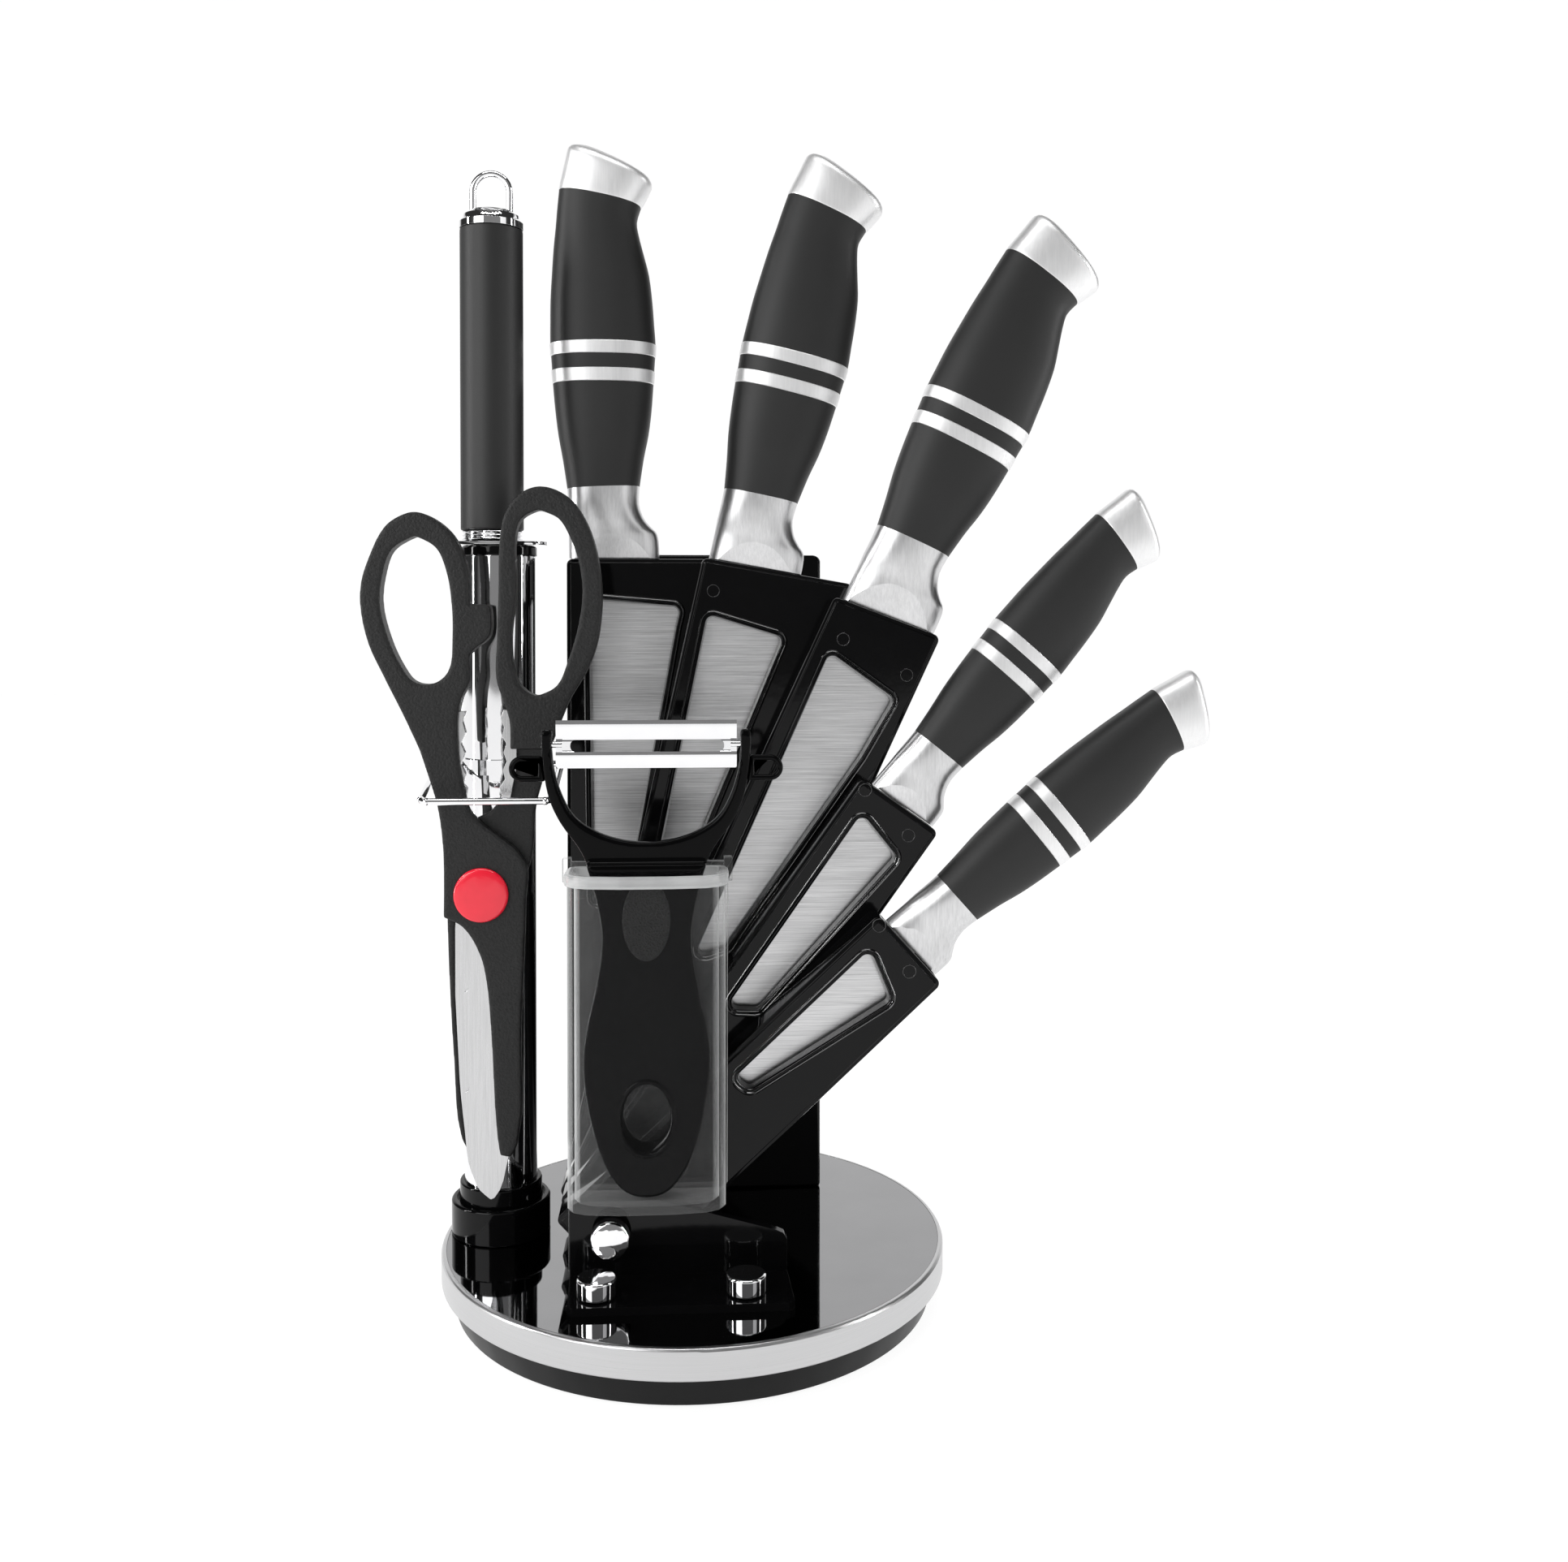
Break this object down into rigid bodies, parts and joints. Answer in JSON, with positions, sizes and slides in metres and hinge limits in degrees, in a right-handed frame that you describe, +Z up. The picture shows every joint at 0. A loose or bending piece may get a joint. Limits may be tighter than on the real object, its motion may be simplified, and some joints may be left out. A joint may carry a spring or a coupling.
{
  "type": "revolving knife block",
  "caption": "Round turntable stand with a fan of windowed knife sheaths, bolstered knives, clear pocket with peeler, tube with sharpening steel and wire loop with kitchen scissors",
  "frame": {"origin": "centre of the rubber pad's underside, on the turntable's axis, where the stand meets the table", "axes": "+Z up along the turntable's axis; -Y is the front, where the pocket and the scissors are; +X is the side the fan of knives leans to"},
  "size_m": [0.2765, 0.17, 0.3982],
  "materials": {
    "rubber": "matte",
    "satin_black": "satin",
    "white_slider": "satin",
    "dark_mirror": "mirror gloss",
    "satin_band": "satin",
    "spindle_steel": "turned",
    "gloss_black": "high gloss",
    "chrome": "polished",
    "clear_plastic": "clear gloss",
    "blade_steel": "brushed across",
    "satin_steel": "satin",
    "soft_black": "soft touch",
    "textured_black": "fine grain",
    "red_gloss": "gloss",
    "rod_steel": "ribbed lengthwise"
  },
  "bodies": {
    "base": {"rubber_pad": "rubber", "base_shell": "satin_black", "glide_ring": "white_slider"},
    "turntable": {"turntable_plate": "dark_mirror", "rim_band": "satin_band", "spindle": "spindle_steel", "column": "gloss_black", "sheath_1": "gloss_black", "sheath_2": "gloss_black", "sheath_3": "gloss_black", "sheath_4": "gloss_black", "sheath_5": "gloss_black", "front_bracket": "gloss_black", "flange_screws": "chrome", "pocket_knob": "chrome", "pocket": "clear_plastic", "tube": "chrome", "tube_collar": "gloss_black", "tube_cup": "gloss_black", "wire_loop": "chrome"},
    "knife_1": {"blade_1": "blade_steel", "bolster_1": "satin_steel", "grip_1": "soft_black", "bands_1": "satin_steel", "cap_1": "satin_steel"},
    "knife_2": {"blade_2": "blade_steel", "bolster_2": "satin_steel", "grip_2": "soft_black", "bands_2": "satin_steel", "cap_2": "satin_steel"},
    "knife_3": {"blade_3": "blade_steel", "bolster_3": "satin_steel", "grip_3": "soft_black", "bands_3": "satin_steel", "cap_3": "satin_steel"},
    "knife_4": {"blade_4": "blade_steel", "bolster_4": "satin_steel", "grip_4": "soft_black", "bands_4": "satin_steel", "cap_4": "satin_steel"},
    "knife_5": {"blade_5": "blade_steel", "bolster_5": "satin_steel", "grip_5": "soft_black", "bands_5": "satin_steel", "cap_5": "satin_steel"},
    "scissors": {"scissors_front_handle": "textured_black", "scissors_front_blade": "blade_steel", "scissors_button": "red_gloss"},
    "scissors_rear": {"scissors_rear_handle": "textured_black", "scissors_rear_blade": "blade_steel"},
    "peeler": {"peeler_body": "gloss_black", "peeler_eyes": "gloss_black"},
    "peeler_swivel": {"peeler_blade": "chrome"},
    "steel": {"steel_rod": "rod_steel", "steel_handle": "soft_black", "steel_ferrule": "chrome", "steel_guard": "chrome", "steel_cap": "chrome", "steel_loop": "chrome"}
  },
  "joints": [
    {"name": "turntable_spin", "type": "hinge", "parent": "base", "child": "turntable", "pos_m": [0, 0, 0.01], "axis": [0, 0, 1], "continuous": true},
    {"name": "knife_1_draw", "type": "slide", "parent": "turntable", "child": "knife_1", "axis": [0, 0, 1], "range_m": [0, 0.206]},
    {"name": "knife_2_draw", "type": "slide", "parent": "turntable", "child": "knife_2", "axis": [0.2176, 0, 0.976], "range_m": [0, 0.2]},
    {"name": "knife_3_draw", "type": "slide", "parent": "turntable", "child": "knife_3", "axis": [0.419, 0, 0.908], "range_m": [0, 0.182]},
    {"name": "knife_4_draw", "type": "slide", "parent": "turntable", "child": "knife_4", "axis": [0.5835, 0, 0.8121], "range_m": [0, 0.132]},
    {"name": "knife_5_draw", "type": "slide", "parent": "turntable", "child": "knife_5", "axis": [0.7325, 0, 0.6807], "range_m": [0, 0.102]},
    {"name": "scissors_lift", "type": "slide", "parent": "turntable", "child": "scissors", "axis": [0, 0, 1], "range_m": [0, 0.15]},
    {"name": "scissors_open", "type": "hinge", "parent": "scissors", "child": "scissors_rear", "pos_m": [-0.0694, -0.017, 0.1397], "axis": [0, 1, 0], "range_deg": [0, 2.5]},
    {"name": "peeler_lift", "type": "slide", "parent": "turntable", "child": "peeler", "axis": [0, 0, 1], "range_m": [0, 0.11]},
    {"name": "peeler_blade_swivel", "type": "hinge", "parent": "peeler", "child": "peeler_swivel", "pos_m": [-0.0147, -0.048, 0.191], "axis": [1, 0, 0], "range_deg": [-20, 20]},
    {"name": "steel_lift", "type": "slide", "parent": "turntable", "child": "steel", "axis": [0, 0, 1], "range_m": [0, 0.21]}
  ]
}
